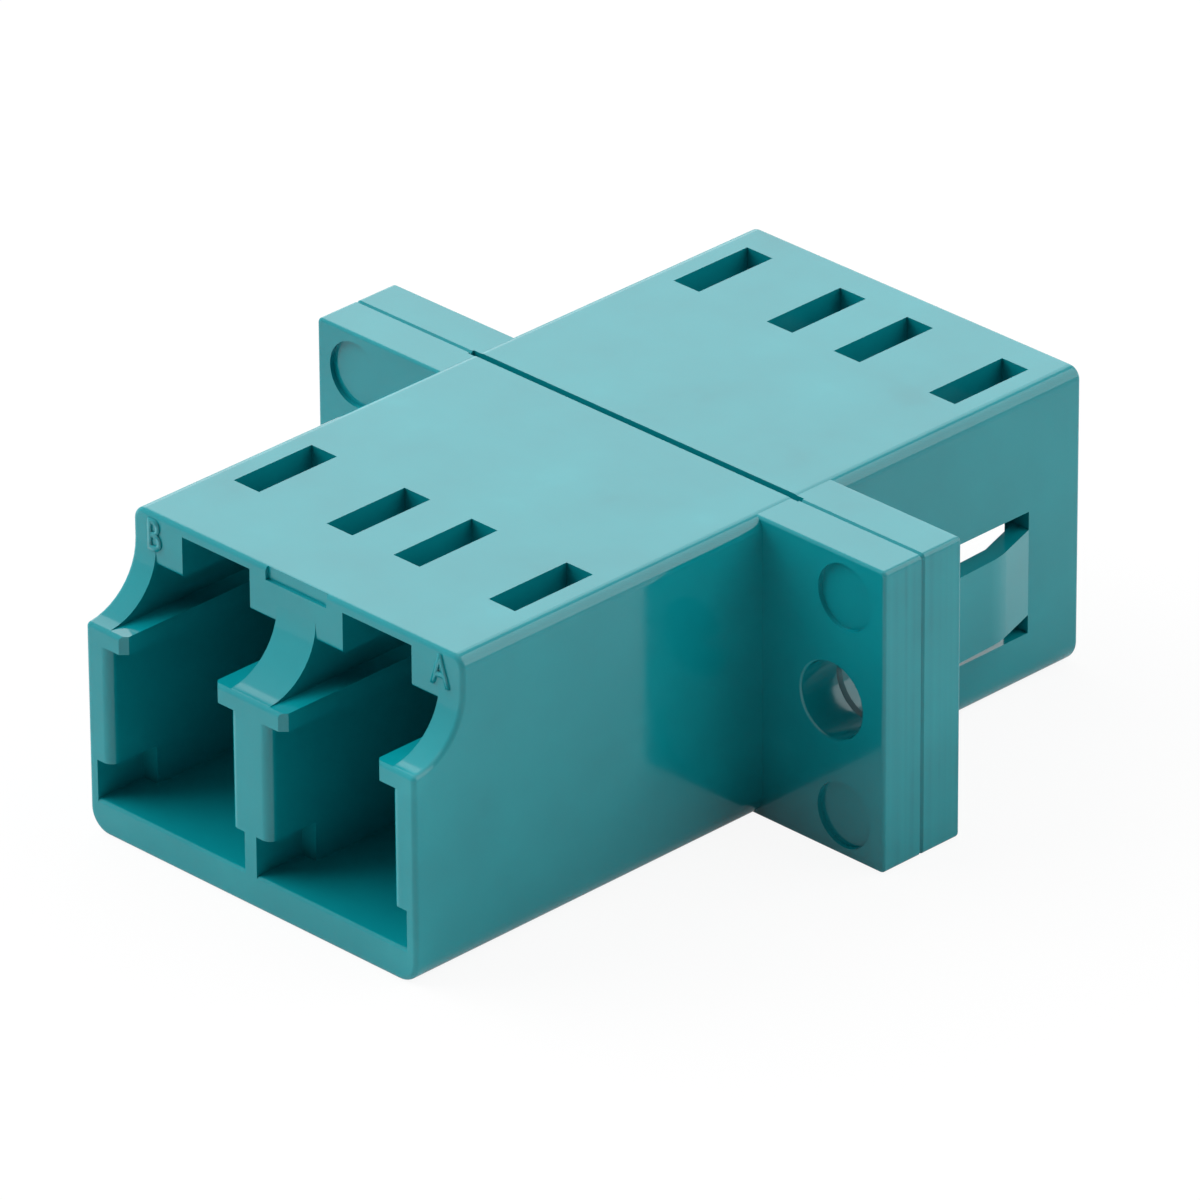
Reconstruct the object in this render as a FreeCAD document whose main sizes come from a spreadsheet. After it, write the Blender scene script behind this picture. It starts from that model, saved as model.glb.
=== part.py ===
import FreeCAD, Part
import math
import os
import re
import Sketcher

# Duplex fibre adapter with a two-ear flange, for plugs with 1.25 mm ferrules: two moulded housing halves
# welded at the flange seam, with a split alignment sleeve trapped in each channel.
# X runs along the flange, +Y goes into the panel and +Z is up. The origin is the middle of the screw
# pattern, on the flange face that seats on the panel. Each half is drawn with its seam face on its own
# XZ plane and its ports open towards its own -Y.

# Driving sizes in millimetres
sizes = {
    "body_width": (12.8, "both ports and their walls"),
    "body_height": (9.3, "underside to top"),
    "front_length": (14.75, "seam to the front ledge"),
    "rear_length": (11.15, "seam to the rear end"),
    "top_round": (0.4, "radius of the long top edges"),
    "bottom_round": (0.7, "radius of the long bottom edges"),
    "mouth_round": (0.15, "radius round the outside of a mouth"),
    "flange_width": (22.0, "ear to ear"),
    "flange_drop": (0.02, "flange inside the body at top and bottom"),
    "flange_thickness": (1.5, "one half of the flange"),
    "flange_corner": (0.15, "radius of the flange corners"),
    "flange_round": (0.1, "radius of the flange's outer edge"),
    "seam_edge": (0.07, "chamfer of the seam on the flange"),
    "seam_groove": (0.12, "half of the gap across the body top"),
    "seam_depth": (0.3, "depth of that gap"),
    "port_pitch": (6.25, "channel to channel"),
    "port_width": (4.7, "guide for the plug body"),
    "port_height": (4.8, "floor to the underside of the rails"),
    "floor_thickness": (1.05, "under the ports"),
    "floor_lead": (0.12, "radius of the floor at the mouth"),
    "bulkhead": (1.7, "wall at the seam, one half"),
    "rail_thickness": (0.55, "rails above the plug body"),
    "rail_gap": (3.5, "between two rails"),
    "rail_lead": (0.2, "chamfer of a rail's inner corner at the mouth"),
    "ear_width": (4.75, "room for the ears of the latch"),
    "ear_height": (1.35, "rail top to the catch blocks"),
    "ear_play": (0.35, "that room runs in beyond the windows"),
    "channel_width": (2.65, "slot for the latch between the blocks"),
    "slot_wall": (0.4, "between that slot and the windows' ends"),
    "roof_thickness": (0.3, "over that slot"),
    "block_round": (0.12, "lower front edges of the catch blocks"),
    "window_width": (1.0, "latch window across"),
    "window_length": (2.95, "latch window along"),
    "window_edge": (1.15, "latch window to the rear end"),
    "relief_height": (1.2, "undercut at the foot of the mouth"),
    "relief_depth": (1.7, "how far that undercut runs in"),
    "relief_wall": (0.35, "outer wall left beside it"),
    "relief_web": (0.45, "middle wall left between two of them"),
    "pad_round": (0.3, "lead-in of the guide walls"),
    "set_back": (1.85, "top of the front mouth behind its ledge"),
    "scoop_radius": (1.9, "hollow down to the ledge"),
    "recess_width": (2.35, "shallow recess in the middle block"),
    "recess_height": (0.4, "that recess, down from the top"),
    "recess_depth": (0.1, "that recess, into the block"),
    "screw_edge": (2.0, "middle of a screw hole to the flange end"),
    "screw_hole": (2.3, "clearance for an M2 screw"),
    "screw_rim": (0.08, "radius of a screw hole's rim"),
    "screw_seam": (0.1, "chamfer of the seam in a screw hole"),
    "mark_width": (2.0, "ejector pin mark"),
    "mark_depth": (0.15, "ejector pin mark"),
    "mark_edge": (1.5, "middle of a mark to the flange end"),
    "mark_rise": (6.7, "between the two marks of one ear"),
    "sleeve_bore": (1.25, "ferrule diameter that the sleeve grips"),
    "sleeve_wall": (0.185, "split sleeve"),
    "sleeve_length": (6.4, "split sleeve"),
    "sleeve_slot": (0.3, "split sleeve"),
    "sleeve_clearance": (0.04, "round the sleeve in its seat"),
    "sleeve_end_play": (0.1, "beyond each end of the sleeve"),
    "tube_wall": (0.5, "tube round the sleeve seat"),
    "tube_lip": (0.8, "end of the tube that keeps the sleeve in"),
    "ferrule_clearance": (0.075, "round a ferrule at the lip's inner edge"),
    "ferrule_lead": (20.0, "degrees, funnel through that lip"),
    "peg_width": (1.0, "weld peg on the seam face"),
    "peg_length": (0.8, "weld peg"),
    "peg_clearance": (0.05, "round a peg in its socket"),
    "peg_end_play": (0.1, "beyond a peg in its socket"),
    "peg_side": (0.8, "middle of a peg beside the body"),
    "peg_rise": (2.6, "pegs above mid-height"),
    "tongue_edge": (2.08, "root of a snap tongue to the rear end"),
    "tongue_height": (2.67, "snap tongue"),
    "tongue_thickness": (0.6, "snap tongue"),
    "tongue_ramp": (1.7, "length of the ramp at the root of the tongue"),
    "ramp_lift": (0.55, "end of the ramp outside the wall"),
    "ramp_round": (2.5, "radius from the ramp to the rest of the tongue"),
    "tongue_lift": (0.7, "tip of the tongue outside the wall"),
    "tongue_middle": (3.65, "mid-height of the tongue"),
    "tongue_slot": (0.57, "gap above and below the tongue"),
    "tip_gap": (0.35, "gap beyond the tip of the tongue"),
    "panel_gap": (2.1, "flange to the tip of the tongue, for the panel"),
}

# Heights, depths and places that several features share
levels = {
    "half_width": "body_width / 2",
    "mid_height": "body_height / 2",
    "channel": "port_pitch / 2",
    "guide_side": "channel + port_width / 2",
    "rail_under": "floor_thickness + port_height",
    "rail_top": "rail_under + rail_thickness",
    "block_under": "rail_top + ear_height",
    "roof_under": "body_height - roof_thickness",
    "relief_top": "floor_thickness + relief_height",
    "ferrule_axis": "floor_thickness + port_height / 2",
    "entry_width": "sleeve_bore + 2 * ferrule_clearance",
    "sleeve_outside": "sleeve_bore + 2 * sleeve_wall",
    "seat_width": "sleeve_outside + 2 * sleeve_clearance",
    "seat_depth": "sleeve_length / 2 + sleeve_end_play",
    "tube_end": "seat_depth + tube_lip",
    "front_top": "front_length - set_back",
    "scoop_middle": "rail_top + sqrt(scoop_radius ^ 2 - (scoop_radius - set_back) ^ 2)",
    "window_end": "rear_length - window_edge",
    "window_start": "window_end - window_length",
    "ear_stop": "window_start - ear_play",
    "slot_end": "window_end + slot_wall",
    "screw_across": "flange_width / 2 - screw_edge",
    "mark_across": "flange_width / 2 - mark_edge",
    "peg_across": "half_width + peg_side",
    "peg_height": "mid_height + peg_rise",
    "tongue_root": "rear_length - tongue_edge",
    "tongue_low": "tongue_middle - tongue_height / 2",
    "tongue_high": "tongue_middle + tongue_height / 2",
    "tongue_tip": "flange_thickness + panel_gap",
}

doc = FreeCAD.newDocument("fibre_adapter")
sheet = doc.addObject("Spreadsheet::Sheet", "Sizes")
for row, (alias, (number, note)) in enumerate(sizes.items(), 1):
    sheet.set(f"A{row}", alias)
    sheet.set(f"B{row}", str(number))
    sheet.setAlias(f"B{row}", alias)
    sheet.set(f"C{row}", note)
doc.recompute()


def formula(text):
    return re.sub(r"\b[a-z]\w*\b(?!\()", lambda word: owner(word.group()) + word.group(), text)


def owner(name):
    return "Sizes." if name in sizes else "Levels."


def value(name):
    return float(sheet.get(name) if name in sizes else getattr(shared, name))


shared = doc.addObject("App::VarSet", "Levels")
for name, text in levels.items():
    shared.addProperty("App::PropertyFloat", name)
    shared.setExpression(name, formula(text))
doc.recompute()


def origin_plane(body, role):
    return next(item for item in body.Origin.OriginFeatures if item.Role == role)


def sketch_on(body, name, role, offset="0"):
    sketch = body.newObject("Sketcher::SketchObject", f"{body.Name}_{name}")
    sketch.AttachmentSupport = [(origin_plane(body, role), "")]
    sketch.MapMode = "FlatFace"
    sketch.setExpression("AttachmentOffset.Base.z", formula(offset))
    return sketch


def dimension(sketch, constraint, text):
    index = sketch.addConstraint(constraint)
    sketch.setExpression(f"Constraints[{index}]", formula(text))


def place(sketch, item, point, spot, across, up):
    dimension(sketch, Sketcher.Constraint("DistanceX", -1, 1, item, point, spot.x), across)
    dimension(sketch, Sketcher.Constraint("DistanceY", -1, 1, item, point, spot.y), up)


def outline(sketch, corners):
    count = len(corners)
    turn = 2 * math.pi / count
    spots = [FreeCAD.Vector(math.cos(k * turn), math.sin(k * turn), 0) for k in range(count)]
    first = sketch.GeometryCount
    for k in range(count):
        sketch.addGeometry(Part.LineSegment(spots[k], spots[(k + 1) % count]))
    for k in range(count):
        sketch.addConstraint(Sketcher.Constraint("Coincident", first + k, 2, first + (k + 1) % count, 1))
    for k, (across, up) in enumerate(corners):
        place(sketch, first + k, 1, spots[k], across, up)


def rectangle(sketch, left, right, low, high):
    outline(sketch, [(left, low), (right, low), (right, high), (left, high)])


def circle(sketch, across, up, diameter):
    spot = FreeCAD.Vector(1, 1, 0)
    item = sketch.addGeometry(Part.Circle(spot, FreeCAD.Vector(0, 0, 1), 1))
    place(sketch, item, 3, spot, across, up)
    dimension(sketch, Sketcher.Constraint("Diameter", item, 2), diameter)


def rounded_rectangle(sketch, right, low, high, low_radius, high_radius):
    # Sides and corner arcs in turn, anticlockwise from the lower side, started as a square of side 4
    up = FreeCAD.Vector(0, 0, 1)
    for k in range(4):
        turn = FreeCAD.Rotation(up, 90 * k)
        ends = [turn.multVec(FreeCAD.Vector(x, -2, 0)) for x in (-1, 1)]
        bend = Part.Circle(turn.multVec(FreeCAD.Vector(1, -1, 0)), up, 1)
        start = math.radians(90 * k - 90)
        sketch.addGeometry(Part.LineSegment(*ends))
        sketch.addGeometry(Part.ArcOfCircle(bend, start, start + math.pi / 2))
    for k in range(8):
        sketch.addConstraint(Sketcher.Constraint("Tangent", k, 2, (k + 1) % 8, 1))
    for side, way in ((0, "Horizontal"), (2, "Vertical"), (4, "Horizontal"), (6, "Vertical")):
        sketch.addConstraint(Sketcher.Constraint(way, side))
    for arc, other, radius in ((1, 7, low_radius), (3, 5, high_radius)):
        sketch.addConstraint(Sketcher.Constraint("Equal", arc, other))
        dimension(sketch, Sketcher.Constraint("Radius", arc, 1), radius)
    for way, side, start, reach in (("DistanceY", 0, -2, low), ("DistanceX", 2, 2, right),
                                    ("DistanceY", 4, 2, high), ("DistanceX", 6, -2, f"-{right}")):
        dimension(sketch, Sketcher.Constraint(way, -1, 1, side, 1, start), reach)


def pad(body, sketch, length, back=False):
    feature = body.newObject("PartDesign::Pad", f"{sketch.Name}_pad")
    feature.Profile = sketch
    feature.Reversed = back
    feature.setExpression("Length", formula(length))
    return feature


def pocket(body, sketch, depth=None, onward=True):
    feature = body.newObject("PartDesign::Pocket", f"{sketch.Name}_cut")
    feature.Profile = sketch
    feature.Reversed = onward
    if depth:
        feature.setExpression("Length", formula(depth))
    else:
        feature.Type = "ThroughAll"
    return feature


def mirrored(body, *features):
    mirror = body.newObject("PartDesign::Mirrored", f"{features[0].Name}_pair")
    mirror.Originals = list(features)
    mirror.MirrorPlane = (origin_plane(body, "YZ_Plane"), [""])
    body.Tip = mirror


def soften(body, name, kind, amount, wanted):
    doc.recompute()
    base = body.Tip
    edges = [f"Edge{k}" for k, edge in enumerate(base.Shape.Edges, 1) if wanted(edge)]
    feature = body.newObject(f"PartDesign::{kind}", f"{body.Name}_{name}")
    feature.Base = (base, edges)
    feature.setExpression("Radius" if kind == "Fillet" else "Size", formula(amount))


def near(one, other):
    return abs(one - other) < 1e-4


def lies_at(edge, **places):
    box = edge.BoundBox
    ends = {"x": (box.XMin, box.XMax), "y": (box.YMin, box.YMax), "z": (box.ZMin, box.ZMax)}
    return all(near(end, spot) for axis, spot in places.items() for end in ends[axis])


def flange(body):
    plate = sketch_on(body, "flange", "XZ_Plane")
    rectangle(plate, "-flange_width / 2", "flange_width / 2", "flange_drop", "body_height - flange_drop")
    pad(body, plate, "flange_thickness")
    face = -value("flange_thickness")
    soften(body, "flange_corners", "Fillet", "flange_corner", lambda edge: near(edge.BoundBox.YMin, face)
           and near(edge.BoundBox.YMax, 0))
    soften(body, "flange_edges", "Fillet", "flange_round", lambda edge: lies_at(edge, y=face))
    soften(body, "flange_seam", "Chamfer", "seam_edge", lambda edge: lies_at(edge, y=0))


def block(body, length):
    section = sketch_on(body, "block", "XZ_Plane")
    rounded_rectangle(section, "half_width", "0", "body_height", "bottom_round", "top_round")
    pad(body, section, length)


def scoop(body):
    setback = sketch_on(body, "setback", "YZ_Plane", "-half_width")
    rectangle(setback, "-front_length", "-front_top", "scoop_middle", "body_height")
    hollow = sketch_on(body, "scoop", "YZ_Plane", "-half_width")
    circle(hollow, "-front_top - scoop_radius", "scoop_middle", "2 * scoop_radius")
    pocket(body, setback)
    pocket(body, hollow)


def ports(body, length):
    port = sketch_on(body, "port", "XZ_Plane", "bulkhead")
    zones = [("port_width", "floor_thickness", "rail_under"), ("rail_gap", "rail_under", "block_under")]
    right = [(f"channel + {width} / 2", level) for width, low, high in zones for level in (low, high)]
    left = [(f"channel - {width} / 2", level) for width, low, high in zones for level in (low, high)]
    outline(port, right + left[::-1])
    ears = sketch_on(body, "ears", "XZ_Plane", "ear_stop")
    rectangle(ears, "channel - ear_width / 2", "channel + ear_width / 2", "rail_top", "block_under")
    slot = sketch_on(body, "latch_slot", "XZ_Plane", "slot_end")
    rectangle(slot, "channel - channel_width / 2", "channel + channel_width / 2", "block_under", "roof_under")
    relief = sketch_on(body, "relief", "XZ_Plane", f"{length} - relief_depth")
    rectangle(relief, "relief_web / 2", "half_width - relief_wall", "floor_thickness", "relief_top")
    windows = sketch_on(body, "windows", "XY_Plane", "rail_top + ear_height / 2")
    for side in ("channel + channel_width / 2", "channel - channel_width / 2 - window_width"):
        rectangle(windows, side, f"{side} + window_width", "-window_end", "-window_start")
    tips = sketch_on(body, "rail_tips", "XY_Plane", "rail_under")
    for side, way in (("channel + rail_gap / 2", "+"), ("channel - rail_gap / 2", "-")):
        outline(tips, [(side, f"-{length}"), (f"{side} {way} rail_lead", f"-{length}"),
                       (side, f"rail_lead - {length}")])
    cuts = [pocket(body, sketch) for sketch in (port, ears, slot, relief, windows)]
    mirrored(body, *cuts, pocket(body, tips, "rail_thickness"))


def block_faces(body):
    face = sketch_on(body, "block_face", "XZ_Plane", "front_length")
    rectangle(face, "channel - ear_width / 2", "channel + ear_width / 2", "block_under", "body_height")
    mirrored(body, pocket(body, face, "set_back", onward=False))


def lead_ins(body, length, block_length):
    mouth, top = -value(length), -value(block_length)
    soften(body, "pads", "Fillet", "pad_round", lambda edge: lies_at(edge, y=mouth)
           and near(edge.BoundBox.ZMin, value("relief_top")) and near(edge.BoundBox.ZMax, value("rail_under")))
    soften(body, "floor", "Fillet", "floor_lead",
           lambda edge: lies_at(edge, y=mouth, z=value("floor_thickness")))
    soften(body, "blocks", "Fillet", "block_round", lambda edge: lies_at(edge, y=top, z=value("block_under")))


def sleeve_tubes(body):
    tube = sketch_on(body, "tube", "XZ_Plane")
    circle(tube, "channel", "ferrule_axis", "seat_width + 2 * tube_wall")
    seat = sketch_on(body, "seat", "XZ_Plane")
    circle(seat, "channel", "ferrule_axis", "seat_width")
    entry = sketch_on(body, "entry", "XZ_Plane", "seat_depth")
    circle(entry, "channel", "ferrule_axis", "entry_width")
    solids = [pad(body, tube, "tube_end"), pocket(body, seat, "seat_depth"), pocket(body, entry, "tube_lip")]
    solids[-1].setExpression("TaperAngle", formula("ferrule_lead"))
    mirrored(body, *solids)


def screw_holes(body):
    hole = sketch_on(body, "screw", "XZ_Plane")
    circle(hole, "screw_across", "mid_height", "screw_hole")
    mirrored(body, pocket(body, hole))
    soften(body, "screw_seam", "Chamfer", "screw_seam", lambda edge: lies_at(edge, y=0)
           and near(edge.BoundBox.ZLength, value("screw_hole")))


def flange_front(body):
    soften(body, "screw_rim", "Fillet", "screw_rim", lambda edge: lies_at(edge, y=-value("flange_thickness"))
           and near(edge.BoundBox.ZLength, value("screw_hole")))
    marks = sketch_on(body, "marks", "XZ_Plane", "flange_thickness")
    for rise in ("mark_rise / 2", "-mark_rise / 2"):
        circle(marks, "mark_across", f"mid_height + {rise}", "mark_width")
    mirrored(body, pocket(body, marks, "mark_depth", onward=False))


def seam_details(body):
    peg = sketch_on(body, "peg", "XZ_Plane")
    circle(peg, "peg_across", "peg_height", "peg_width")
    pad(body, peg, "peg_length", back=True)
    socket = sketch_on(body, "socket", "XZ_Plane")
    circle(socket, "-peg_across", "peg_height", "peg_width + 2 * peg_clearance")
    pocket(body, socket, "peg_length + peg_end_play")
    groove = sketch_on(body, "groove", "XY_Plane", "body_height")
    rectangle(groove, "-half_width", "half_width", "-seam_groove", "0")
    pocket(body, groove, "seam_depth", onward=False)


def tongues(body):
    gap = sketch_on(body, "tongue_gap", "YZ_Plane", "guide_side")
    rectangle(gap, "-tongue_root", "tip_gap - tongue_tip", "tongue_low - tongue_slot", "tongue_high + tongue_slot")
    tongue = sketch_on(body, "tongue", "XY_Plane", "tongue_low")
    inside = "half_width - tongue_thickness"
    bend = "tongue_ramp - tongue_root"
    outline(tongue, [("half_width", "-tongue_root"), ("half_width + ramp_lift", bend),
                     ("half_width + tongue_lift", "-tongue_tip"), (f"{inside} + tongue_lift", "-tongue_tip"),
                     (f"{inside} + ramp_lift", bend), (inside, "-tongue_root"),
                     (inside, "-tongue_root - tongue_thickness")])
    mirrored(body, pocket(body, gap), pad(body, tongue, "tongue_height"))
    crest = value("tongue_ramp") - value("tongue_root")
    side = value("half_width") + value("ramp_lift")
    soften(body, "tongue_bend", "Fillet", "ramp_round", lambda edge: lies_at(edge, y=crest)
           and near(abs(edge.BoundBox.XMin), side) and near(edge.BoundBox.XLength, 0))


def block_recess(body):
    recess = sketch_on(body, "recess", "XZ_Plane", "front_top")
    rectangle(recess, "-recess_width / 2", "recess_width / 2", "body_height - recess_height", "body_height")
    pocket(body, recess, "recess_depth", onward=False)


def new_body(label, turn, rise):
    body = doc.addObject("PartDesign::Body", label)
    body.Label = label
    body.Placement.Rotation = FreeCAD.Rotation(FreeCAD.Vector(0, 0, 1), turn)
    body.setExpression("Placement.Base.y", formula("-flange_thickness"))
    body.setExpression("Placement.Base.z", formula(rise))
    return body


def front_housing():
    body = new_body("front_housing", 0, "-mid_height")
    flange(body)
    block(body, "front_length")
    scoop(body)
    mouth = (-value("front_length"), -value("front_top"))
    soften(body, "mouth", "Fillet", "mouth_round", lambda edge: any(lies_at(edge, y=face) for face in mouth)
           or (near(edge.BoundBox.YMin, mouth[0]) and near(edge.BoundBox.YMax, mouth[1])
               and near(edge.BoundBox.XLength, 0)))
    ports(body, "front_length")
    block_faces(body)
    lead_ins(body, "front_length", "front_top")
    sleeve_tubes(body)
    screw_holes(body)
    flange_front(body)
    seam_details(body)
    block_recess(body)
    return body


def rear_housing():
    body = new_body("rear_housing", 180, "-mid_height")
    flange(body)
    block(body, "rear_length")
    soften(body, "mouth", "Fillet", "mouth_round", lambda edge: lies_at(edge, y=-value("rear_length")))
    ports(body, "rear_length")
    lead_ins(body, "rear_length", "rear_length")
    sleeve_tubes(body)
    screw_holes(body)
    seam_details(body)
    tongues(body)
    return body


def alignment_sleeve(label, across):
    body = new_body(label, 0, "ferrule_axis - mid_height")
    body.setExpression("Placement.Base.x", formula(across))
    ring = sketch_on(body, "ring", "XZ_Plane", "-sleeve_length / 2")
    circle(ring, "0", "0", "sleeve_outside")
    circle(ring, "0", "0", "sleeve_bore")
    pad(body, ring, "sleeve_length")
    slot = sketch_on(body, "slot", "XZ_Plane", "-sleeve_length / 2")
    rectangle(slot, "-sleeve_slot / 2", "sleeve_slot / 2", "0", "sleeve_outside")
    pocket(body, slot)
    return body


pieces = [front_housing(), rear_housing(), alignment_sleeve("alignment_sleeve_a", "channel"),
          alignment_sleeve("alignment_sleeve_b", "-channel")]
doc.recompute()

failed = [item.Label for item in doc.Objects if {"Invalid", "Error"} & set(item.State)]
failed += [piece.Label for piece in pieces
           if piece.Shape.isNull() or not piece.Shape.isValid() or len(piece.Shape.Solids) != 1]
if failed:
    raise RuntimeError("not built: " + ", ".join(failed))

os.makedirs("parts", exist_ok=True)
for piece in pieces:
    piece.Shape.exportStep(f"parts/{piece.Label}.step")
    box = piece.Shape.BoundBox
    print(piece.Label, round(piece.Shape.Volume, 3), "mm3", [round(side, 3) for side in
          (box.XMin, box.XMax, box.YMin, box.YMax, box.ZMin, box.ZMax)])
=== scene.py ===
import math

import bpy
from mathutils import Matrix, Vector


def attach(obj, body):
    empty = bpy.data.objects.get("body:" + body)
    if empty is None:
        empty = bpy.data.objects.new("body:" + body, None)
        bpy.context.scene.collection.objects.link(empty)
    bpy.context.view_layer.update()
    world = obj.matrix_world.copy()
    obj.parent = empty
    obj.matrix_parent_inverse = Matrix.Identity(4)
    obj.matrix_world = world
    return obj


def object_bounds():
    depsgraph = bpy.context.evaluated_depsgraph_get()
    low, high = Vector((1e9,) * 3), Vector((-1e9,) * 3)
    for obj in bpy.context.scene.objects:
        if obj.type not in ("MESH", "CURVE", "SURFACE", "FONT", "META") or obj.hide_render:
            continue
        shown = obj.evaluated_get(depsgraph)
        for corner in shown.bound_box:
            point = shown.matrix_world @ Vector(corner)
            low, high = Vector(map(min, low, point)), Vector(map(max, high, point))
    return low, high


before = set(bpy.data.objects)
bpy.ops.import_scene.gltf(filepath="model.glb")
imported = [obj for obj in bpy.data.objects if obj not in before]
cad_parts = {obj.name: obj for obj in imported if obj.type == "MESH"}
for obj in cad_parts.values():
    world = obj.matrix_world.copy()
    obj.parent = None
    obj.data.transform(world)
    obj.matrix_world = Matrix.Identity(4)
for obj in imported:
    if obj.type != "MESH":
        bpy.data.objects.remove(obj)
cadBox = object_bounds()
scene = bpy.context.scene
scene.view_settings.view_transform = "Standard"
mm = 0.001
print("frame loaded:", ", ".join(sorted(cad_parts)))


def linear(hexColour):
    parts = [int(hexColour[k:k + 2], 16) / 255 for k in (1, 3, 5)]
    return tuple(p / 12.92 if p <= 0.04045 else ((p + 0.055) / 1.055) ** 2.4 for p in parts) + (1.0,)


# a setting goes to the socket of that name or number, or else to the node itself
def addNode(tree, kind, settings=None, links=None):
    node = tree.nodes.new(kind)
    for name, setting in (settings or {}).items():
        if isinstance(name, int) or name in node.inputs:
            node.inputs[name].default_value = setting
        else:
            setattr(node, name, setting)
    for name, source in (links or {}).items():
        tree.links.new(source, node.inputs[name])
    return node


def newMaterial(name):
    material = bpy.data.materials.new(name)
    material.use_nodes = True
    material.node_tree.nodes.clear()
    return material, material.node_tree


noiseSpan = {"From Min": 0.3, "From Max": 0.7}  # where most values of a noise lie


# moulded PBT, aqua: saturated body colour under a clear satin skin, from a polished mould
plastic = {
    "colour": "#089099",
    "deepColour": "#078A93",  # where the melt met itself
    "scraped": ("#05767F", "#1C9FA8"),  # darkest and palest streak, the two ends of the colour ramp
    "stops": (0.35, 0.65),  # deepColour and colour on that ramp
    "roughness": (0.07, 0.12),
    "ior": 1.46,
    "flow": 3.0,  # mm, drifts of colour
    "skin": 0.7,  # mm, patches of gloss
    "wave": 0.45,  # mm, slight unevenness of a moulded skin
    "waveHeight": 0.0009,  # mm
    "scrape": 0.22,  # mm, upright streaks where the flange ends slid out of the mould
    "scrapeSquash": (1.0, 1.0, 0.01),  # draws them out upwards
    "scrapeTone": 0.17,  # how far they go along the colour ramp
    "scrapeFrom": 10.95,  # mm, from the middle
    "detail": {"flow": 3.0, "skin": 4.0, "wave": 2.0, "scrape": 1.0},  # finer layers in each noise
}


def makePlastic():
    material, tree = newMaterial("mouldedAquaPbt")
    place = addNode(tree, "ShaderNodeTexCoord").outputs["Object"]
    upright = addNode(tree, "ShaderNodeMapping", {"Scale": plastic["scrapeSquash"]}, {"Vector": place})
    noise = {}
    for name, detail in plastic["detail"].items():
        vector = upright.outputs["Vector"] if name == "scrape" else place
        settings = {"Scale": 1 / (plastic[name] * mm), "Detail": detail}
        noise[name] = addNode(tree, "ShaderNodeTexNoise", settings, {"Vector": vector}).outputs["Fac"]
    # the streaks are on the flange ends only
    spot = addNode(tree, "ShaderNodeSeparateXYZ", links={"Vector": place})
    aside = addNode(tree, "ShaderNodeMath", {"operation": "ABSOLUTE"}, {0: spot.outputs["X"]})
    onEnd = addNode(tree, "ShaderNodeMath", {"operation": "GREATER_THAN", 1: plastic["scrapeFrom"] * mm},
                    {0: aside.outputs["Value"]})
    reach = plastic["scrapeTone"]
    streaks = addNode(tree, "ShaderNodeMapRange", {**noiseSpan, "To Min": -reach, "To Max": reach},
                      {"Value": noise["scrape"]})
    tone = addNode(tree, "ShaderNodeMath", {"operation": "MULTIPLY_ADD"},
                   {0: streaks.outputs["Result"], 1: onEnd.outputs["Value"], 2: noise["flow"]})
    colour = addNode(tree, "ShaderNodeValToRGB", links={"Fac": tone.outputs["Value"]})
    ramp = colour.color_ramp.elements
    for end, shade in enumerate(plastic["scraped"]):
        ramp[end].color = linear(shade)
    for stop, name in zip(plastic["stops"], ("deepColour", "colour")):
        ramp.new(stop).color = linear(plastic[name])
    low, high = plastic["roughness"]
    gloss = addNode(tree, "ShaderNodeMapRange", {**noiseSpan, "To Min": low, "To Max": high},
                    {"Value": noise["skin"]})
    bump = addNode(tree, "ShaderNodeBump", {"Strength": 1.0, "Distance": plastic["waveHeight"] * mm},
                   {"Height": noise["wave"]})
    shader = addNode(tree, "ShaderNodeBsdfPrincipled", {"IOR": plastic["ior"]},
                     {"Base Color": colour.outputs["Color"], "Roughness": gloss.outputs["Result"],
                      "Normal": bump.outputs["Normal"]})
    addNode(tree, "ShaderNodeOutputMaterial", links={"Surface": shader.outputs["BSDF"]})
    return material


# zirconia, sintered and polished: cream white, close and glossy, with the ghost of its grinding
ceramic = {
    "colour": "#EFECE2",
    "shade": "#E4E0D3",
    "roughness": 0.12,
    "ior": 2.1,
    "cloud": 0.5,  # mm
    "cloudDetail": 3.0,
    "grinding": 0.05,  # mm, coarser than the real marks, so that it shows
    "grindingSquash": (0.02, 1.0, 0.02),  # draws the marks out round the sleeve
    "grindingHeight": 0.0006,  # mm
}


def makeCeramic():
    material, tree = newMaterial("polishedZirconia")
    place = addNode(tree, "ShaderNodeTexCoord").outputs["Object"]
    cloud = addNode(tree, "ShaderNodeTexNoise",
                    {"Scale": 1 / (ceramic["cloud"] * mm), "Detail": ceramic["cloudDetail"]},
                    {"Vector": place})
    colour = addNode(tree, "ShaderNodeMix", {"data_type": "RGBA"}, {"Factor": cloud.outputs["Fac"]})
    colour.inputs["A"].default_value = linear(ceramic["colour"])
    colour.inputs["B"].default_value = linear(ceramic["shade"])
    turned = addNode(tree, "ShaderNodeMapping", {"Scale": ceramic["grindingSquash"]}, {"Vector": place})
    grinding = addNode(tree, "ShaderNodeTexNoise", {"Scale": 1 / (ceramic["grinding"] * mm)},
                       {"Vector": turned.outputs["Vector"]})
    bump = addNode(tree, "ShaderNodeBump", {"Strength": 1.0, "Distance": ceramic["grindingHeight"] * mm},
                   {"Height": grinding.outputs["Fac"]})
    mixed = colour.outputs[2]  # the mix's result as a colour
    shader = addNode(tree, "ShaderNodeBsdfPrincipled",
                     {"IOR": ceramic["ior"], "Roughness": ceramic["roughness"]},
                     {"Base Color": mixed, "Normal": bump.outputs["Normal"]})
    addNode(tree, "ShaderNodeOutputMaterial", links={"Surface": shader.outputs["BSDF"]})
    return material


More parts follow.
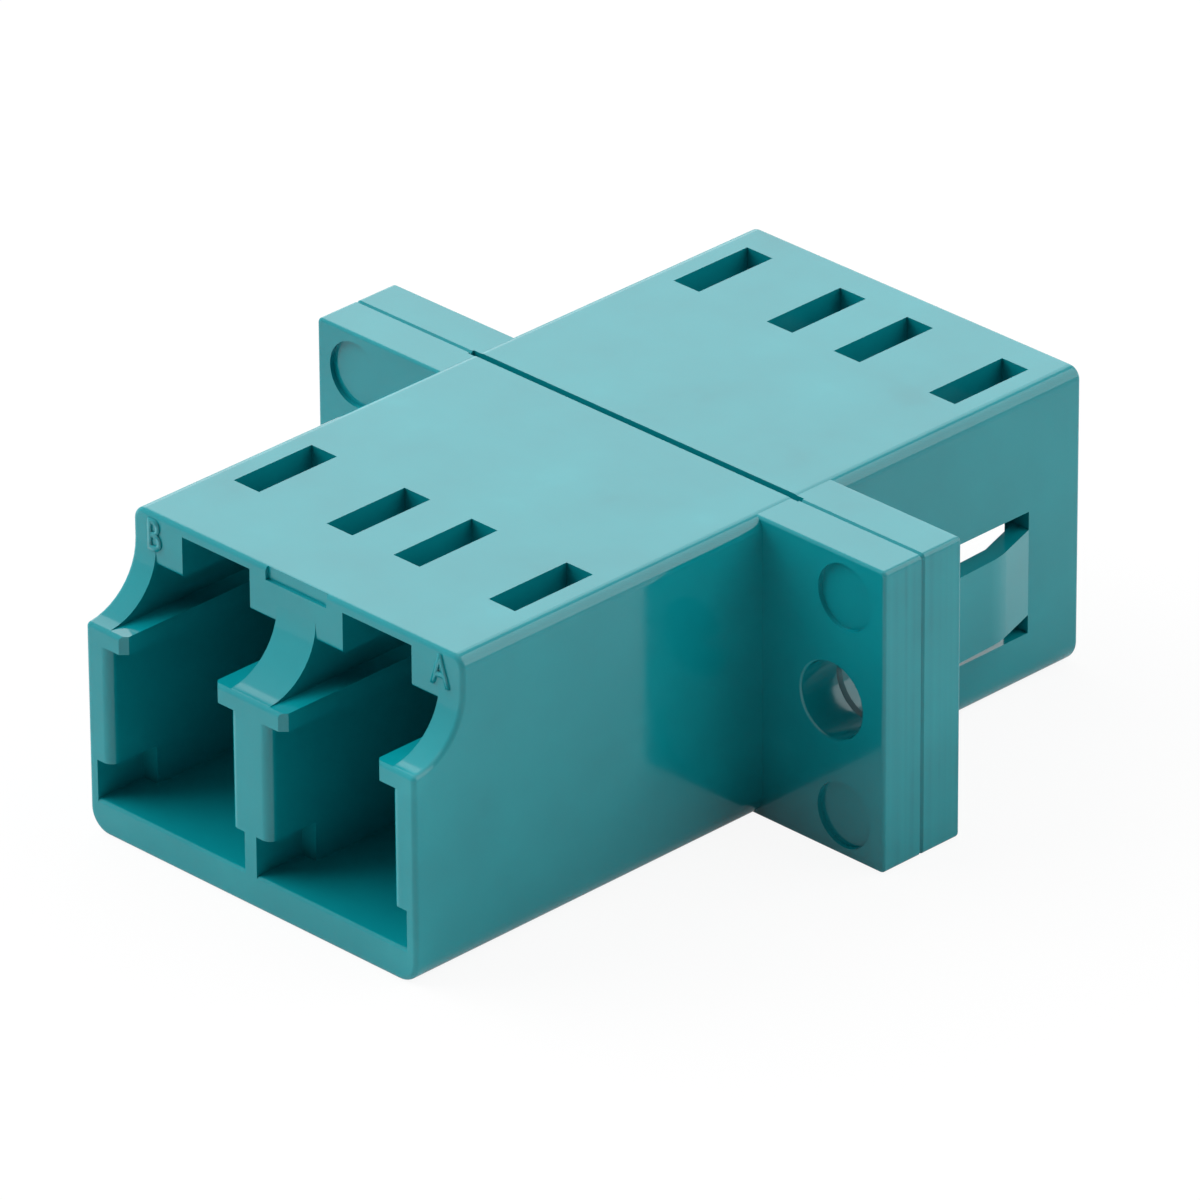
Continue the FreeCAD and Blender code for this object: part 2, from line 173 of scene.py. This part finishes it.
aquaPlastic = makePlastic()
zirconia = makeCeramic()
for name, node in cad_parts.items():
    node.data.materials.clear()
    node.data.materials.append(zirconia if name.startswith("alignment") else aquaPlastic)
print("materials set")


# port letters, raised on the corner blocks of the front mouth
letters = {
    "marks": {"portLetterB": ("B", -5.55), "portLetterA": ("A", 5.55)},  # letter, middle across in mm
    "height": 0.95,  # mm
    "capital": 0.7,  # height of a capital, of the type size
    "narrow": 0.75,  # across, of the type's own width
    "middle": 3.96,  # mm, up
    "start": -17.0,  # mm, plane that the letter is laid from
    "bold": 0.012,  # of the type size, added round the strokes
    "relief": 0.05,  # mm, proud of the block
    "weld": 0.00001,  # mm, points nearer than this are one
    "cuts": 1,  # in each edge, so that the letter follows the block's face
}


def makeLetter(name, letter, across):
    bpy.ops.object.select_all(action="DESELECT")
    bpy.ops.object.text_add(rotation=(math.pi / 2, 0, 0))
    piece = bpy.context.object
    piece.name = name
    piece.data.body = letter
    piece.data.align_x = "CENTER"
    piece.data.align_y = "CENTER"
    piece.data.size = letters["height"] * mm / letters["capital"]
    piece.data.offset = letters["bold"] * piece.data.size
    bpy.ops.object.convert(target="MESH")
    piece.location = (across * mm, letters["start"] * mm, letters["middle"] * mm)
    piece.scale = (letters["narrow"], 1, 1)
    bpy.ops.object.transform_apply(location=True, rotation=True, scale=True)
    bpy.ops.object.mode_set(mode="EDIT")
    bpy.ops.mesh.select_all(action="SELECT")
    bpy.ops.mesh.remove_doubles(threshold=letters["weld"] * mm)
    bpy.ops.mesh.subdivide(number_cuts=letters["cuts"])
    bpy.ops.object.mode_set(mode="OBJECT")
    wrap = piece.modifiers.new("wrap", "SHRINKWRAP")
    wrap.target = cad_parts["front_housing"]
    wrap.wrap_method = "PROJECT"
    wrap.use_project_y = True
    wrap.use_negative_direction = False
    wrap.use_positive_direction = True
    bpy.ops.object.modifier_apply(modifier="wrap")
    solid = piece.modifiers.new("relief", "SOLIDIFY")
    solid.thickness = 2 * letters["relief"] * mm  # half of it stands in the block
    solid.offset = 0.0
    bpy.ops.object.modifier_apply(modifier="relief")
    piece.data.materials.append(aquaPlastic)
    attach(piece, "root")


for name, (letter, across) in letters["marks"].items():
    makeLetter(name, letter, across)
print("port letters made")


# table and room, white for the eye
studio = {
    "white": "#FFFFFF",
    "floorSize": 4.0,  # m
    "floorColour": "#F4F4F4",  # a pale sheet that keeps a soft shadow
    "floorSeen": 0.92,  # share of plain white in what the camera sees of the floor
    "floorMirrored": 0.3,  # the same in what the plastic reflects of it
    "worldLevel": 0.02,
    "worldSeen": 1.0,
    "worldMirrored": 0.85,  # pale walls round the table, in reflections only
}


def whiteShare(tree, seen, mirrored):
    rays = addNode(tree, "ShaderNodeLightPath").outputs
    looks = addNode(tree, "ShaderNodeMath", {"operation": "MAXIMUM"},
                    {0: rays["Is Camera Ray"], 1: rays["Is Transmission Ray"]})
    direct = addNode(tree, "ShaderNodeMath", {"operation": "MULTIPLY", 1: seen}, {0: looks.outputs["Value"]})
    share = addNode(tree, "ShaderNodeMath", {"operation": "MULTIPLY_ADD", 1: mirrored},
                    {0: rays["Is Glossy Ray"], 2: direct.outputs["Value"]})
    return share.outputs["Value"]


def makeFloor():
    bpy.ops.object.select_all(action="DESELECT")
    bpy.ops.mesh.primitive_plane_add(size=studio["floorSize"], location=(0, 0, cadBox[0][2]))
    floor = bpy.context.object
    floor.name = "floor"
    material, tree = newMaterial("paleSheet")
    paper = addNode(tree, "ShaderNodeBsdfDiffuse", {"Color": linear(studio["floorColour"])})
    white = addNode(tree, "ShaderNodeEmission", {"Color": linear(studio["white"]), "Strength": 1.0})
    share = whiteShare(tree, studio["floorSeen"], studio["floorMirrored"])
    mix = addNode(tree, "ShaderNodeMixShader",
                  links={"Fac": share, 1: paper.outputs["BSDF"], 2: white.outputs["Emission"]})
    addNode(tree, "ShaderNodeOutputMaterial", links={"Surface": mix.outputs["Shader"]})
    floor.data.materials.append(material)


def makeWorld():
    world = bpy.data.worlds.new("studio")
    world.use_nodes = True
    scene.world = world
    tree = world.node_tree
    tree.nodes.clear()
    room = {"Color": linear(studio["white"]), "Strength": studio["worldLevel"]}
    sky = addNode(tree, "ShaderNodeBackground", room)
    white = addNode(tree, "ShaderNodeBackground", {"Color": linear(studio["white"]), "Strength": 1.0})
    share = whiteShare(tree, studio["worldSeen"], studio["worldMirrored"])
    mix = addNode(tree, "ShaderNodeMixShader",
                  links={"Fac": share, 1: sky.outputs["Background"], 2: white.outputs["Background"]})
    addNode(tree, "ShaderNodeOutputWorld", links={"Surface": mix.outputs["Shader"]})


# place in m from the adapter, side in m, power in W, and whether the plastic mirrors the box itself
softboxes = {
    "top": {"from": (0.0, 0.0, 0.8), "size": 0.9, "power": 1.35, "mirrored": True},
    "topLeft": {"from": (-0.4, -0.15, 0.68), "size": 0.9, "power": 2.5, "mirrored": False},
    "left": {"from": (-0.65, 0.0, 0.45), "size": 0.7, "power": 1.4, "mirrored": False},
    "back": {"from": (-0.5, 0.5, 0.375), "size": 0.6, "power": 1.7, "mirrored": True},  # sheen on the top
    "right": {"from": (0.5, 0.5, 0.45), "size": 0.9, "power": 4.9, "mirrored": True},
    "front": {"from": (-0.66, -0.38, 0.5), "size": 0.9, "power": 7.9, "mirrored": False},
}


def makeSoftbox(name, box):
    spot = Vector(box["from"])
    bpy.ops.object.light_add(type="AREA", location=spot, rotation=spot.to_track_quat("Z", "Y").to_euler())
    lamp = bpy.context.object
    lamp.name = name + "Softbox"
    lamp.data.shape = "SQUARE"
    lamp.data.size = box["size"]
    lamp.data.energy = box["power"]
    lamp.visible_glossy = box["mirrored"]


makeFloor()
makeWorld()
for name, box in softboxes.items():
    makeSoftbox(name, box)
print("studio set")


# long lens, as in a catalogue picture
view = {
    "azimuth": 45.1334,  # degrees, from the front towards the right side
    "elevation": 27.8699,
    "roll": -0.3459,
    "distance": 368.4773,  # mm, from the seam's foot
    "aside": (-0.9869, 3.3981),  # mm, right and up
    "foot": (0.0, -1.5, -4.65),  # mm
    "lens": 397.66,  # mm
    "sensor": 36,  # mm
    "nearest": 0.01,  # m, where the view begins
}


def makeCamera():
    turn, lift, roll = (math.radians(view[name]) for name in ("azimuth", "elevation", "roll"))
    back = Vector((math.sin(turn) * math.cos(lift), -math.cos(turn) * math.cos(lift), math.sin(lift)))
    level = Vector((math.cos(turn), math.sin(turn), 0))
    rise = back.cross(level)
    right = math.cos(roll) * level + math.sin(roll) * rise
    up = math.cos(roll) * rise - math.sin(roll) * level
    eye = Vector(view["foot"]) + view["distance"] * back + view["aside"][0] * right + view["aside"][1] * up
    bpy.ops.object.camera_add()
    camera = bpy.context.object
    camera.data.sensor_width = view["sensor"]
    camera.data.lens = view["lens"]
    camera.data.clip_start = view["nearest"]
    axes = Matrix((right, up, back)).transposed()
    camera.matrix_world = Matrix.Translation(eye * mm) @ axes.to_4x4()
    scene.camera = camera


makeCamera()
print("camera set")
